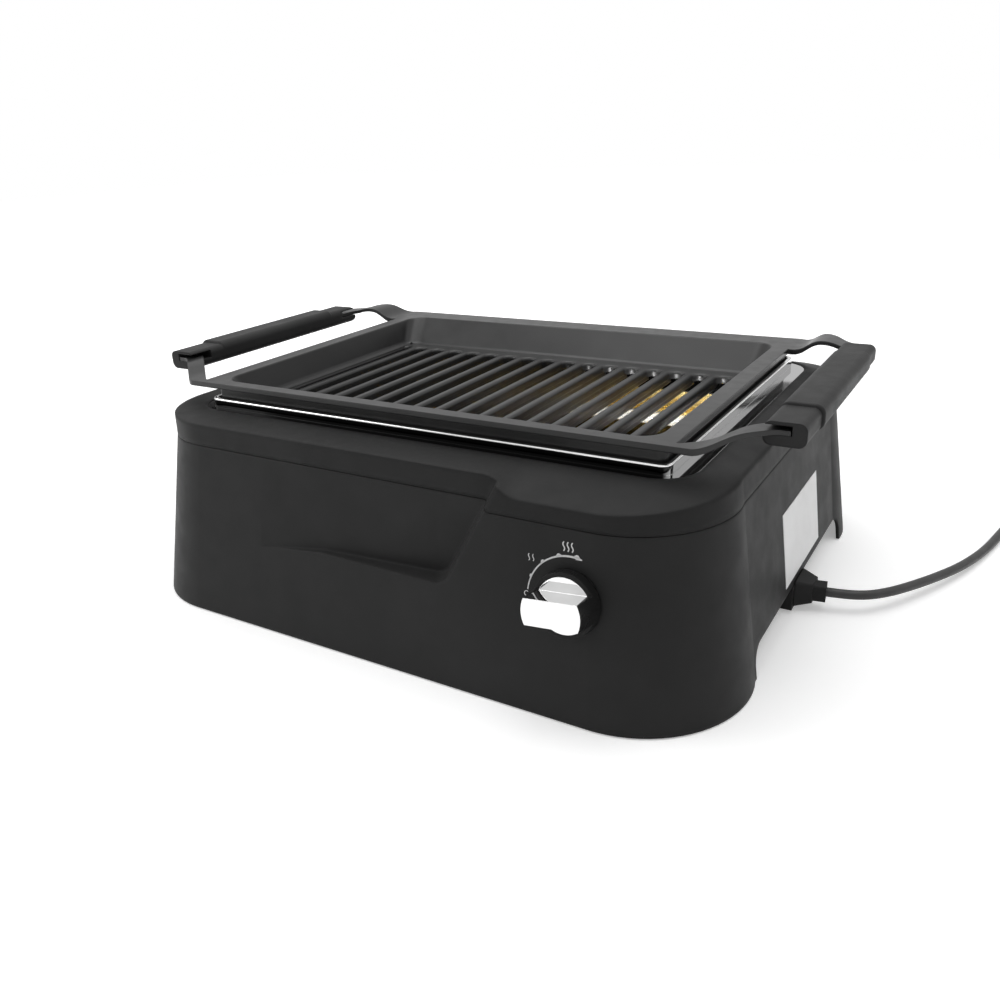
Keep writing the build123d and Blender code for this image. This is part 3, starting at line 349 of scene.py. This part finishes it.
def knob_plastic():
    return soft_plastic("knob_plastic", dark=26, light=32, rough=0.26, grain_scale=2200.0,
                        depth=0.00004)


def rubber():
    return soft_plastic("rubber", dark=26, light=34, rough=0.75, grain_scale=900.0,
                        depth=0.00015)


def plate_coating():
    return noisy("plate_coating", tone=(30.0, 5.0), dark=grey(36), light=grey(44),
                 gloss=(120.0, 3.0), rough=(0.28, 0.36),
                 bumps=[(1200.0, 1.0, 0.00003, 0.4), (90.0, 1.0, 0.0001, 0.12)],
                 edge=0.0012, Specular_IOR_Level=0.32)


def metal(name, dark, light, rough, stretch):
    """Bare metal with fine drawn lines, which its tone and its bump share."""
    finish = Finish(name, Metallic=1.0)
    lines = finish.noise(900.0, 3.0, rough=0.6, stretch=stretch)
    finish.shade(lines, dark, light)
    finish.roughen(finish.noise(70.0, 3.0), rough)
    finish.bump(lines, depth=0.00002, strength=0.3)
    return finish.material


def surround_steel():
    """Glossy steel with its reflections painted into the colour: dark over the sheet, with a
    painted highlight along the lip and a painted reflection along the right side.
    """
    finish = Finish("surround_steel", Metallic=1.0)
    finish.soft_edges(0.0005)
    split = finish.add("ShaderNodeSeparateXYZ")
    finish.join(finish.place, split.inputs[0])
    # Masks for the painted lip highlight and the painted reflection along the right side
    lip = mapped(finish.tree, split.outputs["Z"], painted_lip_highlight_z, (0.0, 1.0))
    side = mapped(finish.tree, split.outputs["X"], painted_side_reflection_x, (0.0, painted_side_reflection_level))
    finish.shade(combined(finish.tree, "MAXIMUM", lip, side), grey(44), grey(240), (0.0, 1.0))
    finish.roughen(finish.noise(80.0, 3.0), (0.05, 0.1))
    finish.bump(finish.noise(45.0, 2.0), depth=0.0002, strength=0.12)
    return finish.material


def chrome():
    return noisy("chrome", tone=(40.0, 2.0), dark=grey(232), light=grey(242),
                 gloss=(90.0, 2.0), rough=(0.03, 0.06), bumps=[(70.0, 1.0, 0.0001, 0.06)],
                 edge=0.0004, Metallic=1.0)


def gold():
    return noisy("gold_reflector", tone=(120.0, 3.0), dark=(0.72, 0.50, 0.16),
                 light=(0.96, 0.82, 0.42), gloss=(50.0, 3.0), rough=(0.12, 0.2),
                 bumps=[(160.0, 2.0, 0.0008, 0.7)], Metallic=1.0)


def quartz():
    return noisy("quartz", tone=(60.0, 2.0), dark=(0.86, 0.84, 0.80), light=(0.94, 0.93, 0.90),
                 gloss=(90.0, 2.0), rough=(0.12, 0.2), Transmission_Weight=0.85, IOR=1.46)


def ceramic():
    return noisy("ceramic", tone=(80.0, 4.0), dark=grey(196), light=grey(212),
                 gloss=(200.0, 3.0), rough=(0.4, 0.55), bumps=[(700.0, 2.0, 0.00008, 0.4)],
                 Specular_IOR_Level=0.45)


def carbon():
    return noisy("carbon", tone=(400.0, 3.0), dark=grey(40), light=grey(58),
                 gloss=(200.0, 3.0), rough=(0.5, 0.7), Specular_IOR_Level=0.4)


def label_film():
    return noisy("label_film", tone=(50.0, 4.0), dark=grey(240), light=grey(247),
                 gloss=(90.0, 3.0), rough=(0.35, 0.5), bumps=[(500.0, 3.0, 0.00003, 0.4)],
                 Specular_IOR_Level=0.4)


def cord_jacket():
    return noisy("cord_jacket", tone=(70.0, 4.0), dark=grey(38), light=grey(50),
                 gloss=(130.0, 3.0), rough=(0.38, 0.5),
                 bumps=[(900.0, 2.0, 0.00008, 0.4), (55.0, 2.0, 0.0005, 0.25)],
                 Specular_IOR_Level=0.45)


def wire_jacket():
    return noisy("wire_jacket", tone=(90.0, 3.0), dark=(0.55, 0.5, 0.42),
                 light=(0.66, 0.61, 0.52), gloss=(200.0, 3.0), rough=(0.5, 0.62),
                 bumps=[(1200.0, 2.0, 0.00008, 0.5)], Specular_IOR_Level=0.4)


def mark_ink():
    return noisy("mark_ink", tone=(900.0, 3.0), dark=grey(206), light=grey(226),
                 gloss=(300.0, 2.0), rough=(0.5, 0.6), Specular_IOR_Level=0.3)


def dress(material, *names):
    for name in names:
        node = nodes[name]
        node.data.materials.clear()
        node.data.materials.append(material)


def dress_nodes():
    dress(body_plastic(), "lower_housing")
    dress(cover_plastic(), "top_cover")
    dress(base_plastic(), "base_plate", "strain_relief", "mains_plug")
    dress(grip_plastic(), "right_grip", "left_grip")
    dress(plate_coating(), "grill_plate")
    dress(surround_steel(), "steel_surround")
    zinc = metal("zinc_sheet", grey(150), grey(176), rough=(0.28, 0.4), stretch=(1, 6, 6))
    dress(zinc, "heating_chamber", "lamp_brackets", "drip_tray")
    steel = metal("plain_steel", grey(160), grey(190), rough=(0.2, 0.32), stretch=(1, 1, 6))
    dress(steel, "base_screws", "grip_screws", "chamber_screws", "terminal_screws",
          "thermostat_shaft", "thermostat_nut")
    dress(knob_plastic(), "knob_body")
    dress(chrome(), "knob_trim")
    dress(gold(), "rear_reflector", "front_reflector")
    dress(quartz(), "rear_lamp", "front_lamp")
    dress(carbon(), "lamp_ribbons")
    dress(ceramic(), "lamp_caps", "terminal_block", "thermostat_body", "thermal_fuse")
    dress(rubber(), "rubber_feet")
    dress(label_film(), "rating_plate")
    brass = metal("brass_pins", (0.6, 0.42, 0.18), (0.72, 0.54, 0.26), rough=(0.2, 0.3),
                  stretch=(6, 1, 6))
    dress(brass, "plug_pins")
    dress(wire_jacket(), "dial_wires", "lamp_wires", "inner_lead")


# Printed marks round the dial
def panel_point(across, up, proud):
    lean = math.radians(panel_lean)
    return (dial_x + across, dial_y + up * math.sin(lean) - proud * math.cos(lean),
            dial_z + up * math.cos(lean) + proud * math.sin(lean))


def printed_shape(name, outlines):
    """Thin printed forms, each a closed outline in panel units, a hair proud of the wall."""
    verts = []
    faces = []
    for outline in outlines:
        base = len(verts)
        count = len(outline)
        verts += [panel_point(a, b, mark_proud) for a, b in outline]
        verts += [panel_point(a, b, -mark_proud) for a, b in outline]
        faces.append(list(range(base, base + count)))
        faces.append([base + count + k for k in reversed(range(count))])
        for k in range(count):
            after = (k + 1) % count
            faces.append([base + after, base + k, base + count + k, base + count + after])
    return add_mesh(name, verts, faces)


def stroke(points, widths):
    """A band along the points, as a closed outline."""
    left = []
    right = []
    for k, (x, y) in enumerate(points):
        before = points[max(k - 1, 0)]
        after = points[min(k + 1, len(points) - 1)]
        run = math.hypot(after[0] - before[0], after[1] - before[1])
        nx = -(after[1] - before[1]) / run
        ny = (after[0] - before[0]) / run
        half = widths[k] / 2
        left.append((x + nx * half, y + ny * half))
        right.append((x - nx * half, y - ny * half))
    return left + right[::-1]


def even_stroke(points, width):
    return stroke(points, [width] * len(points))


def arc_points(radius, start, end, count):
    angles = [math.radians(start + (end - start) * k / count) for k in range(count + 1)]
    return [(radius * math.cos(a), radius * math.sin(a)) for a in angles]


def wave(x, y, height, sway):
    return [(x + sway * math.sin(2 * math.pi * k / wave_steps),
             y - height / 2 + height * k / wave_steps) for k in range(wave_steps + 1)]


def tooth(number, angle):
    """The outline of one flat tooth on the arc."""
    turn = math.radians(angle)
    spread = math.radians(tooth_spread + tooth_spread_growth * number)
    shoulder = math.radians(tooth_shoulder)
    foot = arc_radius + tooth_foot_rise
    peak = arc_radius + tooth_peak_rise + (tooth_height + tooth_growth * number)
    corners = ((foot, spread), (peak, shoulder), (peak, -shoulder), (foot, -spread))
    return [(r * math.cos(turn + a), r * math.sin(turn + a)) for r, a in corners]


def dial_marks():
    arc = arc_points(arc_radius, arc_start, arc_end, arc_steps)
    widths = [arc_width + arc_widening * k / arc_steps for k in range(arc_steps + 1)]
    outlines = [stroke(arc, widths)]
    outlines += [tooth(number, angle) for number, angle in enumerate(tooth_angles)]
    outlines.append(stroke(arc_points(arc_radius, arc_end, tip_end, 1), tip_widths))
    for places, height, length, sway, width in heat_waves:
        outlines += [even_stroke(wave(x, height, length, sway), width) for x in places]
    ring = [(x + ring_centre[0], y + ring_centre[1])
            for x, y in arc_points(ring_radius, ring_start, ring_end, ring_steps)]
    outlines.append(even_stroke(ring, ring_width))
    piece = printed_shape("dial_marks", outlines)
    piece.data.materials.append(mark_ink())
    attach(piece, "base")


# Studio
def add_lamp(name, place, aim, size, watts, spread):
    data = bpy.data.lights.new(name, "AREA")
    data.shape = "RECTANGLE"
    data.size, data.size_y = size
    data.energy = watts
    data.spread = math.radians(spread)
    light = add_object(name, data)
    light.location = place
    way = Vector(aim) - Vector(place)
    light.rotation_euler = way.to_track_quat("-Z", "Y").to_euler()


def seen_ray(tree):
    """1 where the ray comes from the camera, a mirror or clear glass."""
    path = tree.nodes.new("ShaderNodeLightPath").outputs
    mirrored = combined(tree, "MAXIMUM", path["Is Camera Ray"], path["Is Glossy Ray"])
    return combined(tree, "MAXIMUM", mirrored, path["Is Transmission Ray"])


def floor_paper():
    """White paper whose glow grows with the distance from the object."""
    material = bpy.data.materials.new("floor_paper")
    material.use_nodes = True
    tree = material.node_tree
    shader = tree.nodes["Principled BSDF"]
    shader.inputs["Base Color"].default_value = (floor_tone, floor_tone, floor_tone, 1.0)
    shader.inputs["Roughness"].default_value = floor_rough
    shader.inputs["Specular IOR Level"].default_value = 0.0
    shader.inputs["Emission Color"].default_value = (1.0, 1.0, 1.0, 1.0)
    distance = add_node(tree, "ShaderNodeVectorMath", operation="LENGTH")
    place = tree.nodes.new("ShaderNodeTexCoord").outputs["Object"]
    tree.links.new(place, distance.inputs[0])
    glow = mapped(tree, distance.outputs["Value"], glow_distance, glow_levels, "SMOOTHSTEP")
    tree.links.new(combined(tree, "MULTIPLY", glow, seen_ray(tree)),
                   shader.inputs["Emission Strength"])
    return material


def make_floor():
    corners = [(-1, -1), (1, -1), (1, 1), (-1, 1)]
    floor = add_mesh("floor", [(floor_reach * x, floor_reach * y, 0) for x, y in corners],
                     [(0, 1, 2, 3)])
    floor.data.materials.append(floor_paper())


def light_world():
    """White for the camera, soft for bounced light, and a little dimmer low down in mirrors."""
    world = bpy.data.worlds.new("world")
    scene.world = world
    world.use_nodes = True
    tree = world.node_tree
    tree.nodes.clear()
    out = tree.nodes.new("ShaderNodeOutputWorld")
    back = tree.nodes.new("ShaderNodeBackground")
    back.inputs["Color"].default_value = (1.0, 1.0, 1.0, 1.0)
    split = tree.nodes.new("ShaderNodeSeparateXYZ")
    tree.links.new(tree.nodes.new("ShaderNodeTexCoord").outputs["Generated"], split.inputs[0])
    path = tree.nodes.new("ShaderNodeLightPath").outputs
    mirrored = mapped(tree, split.outputs["Z"], mirror_heights, mirror_levels, "SMOOTHSTEP")
    glossy = combined(tree, "MULTIPLY", mirrored, path["Is Glossy Ray"])
    direct = combined(tree, "MAXIMUM", path["Is Camera Ray"], path["Is Transmission Ray"])
    soft = mapped(tree, path["Is Diffuse Ray"], (0.0, 1.0), (0.0, diffuse_world))
    total = combined(tree, "MAXIMUM", combined(tree, "MAXIMUM", glossy, direct), soft)
    tree.links.new(total, back.inputs["Strength"])
    tree.links.new(back.outputs["Background"], out.inputs["Surface"])


set_camera()
make_cord()
dress_nodes()
dial_marks()
make_floor()
light_world()
for lamp in lamps:
    add_lamp(*lamp)
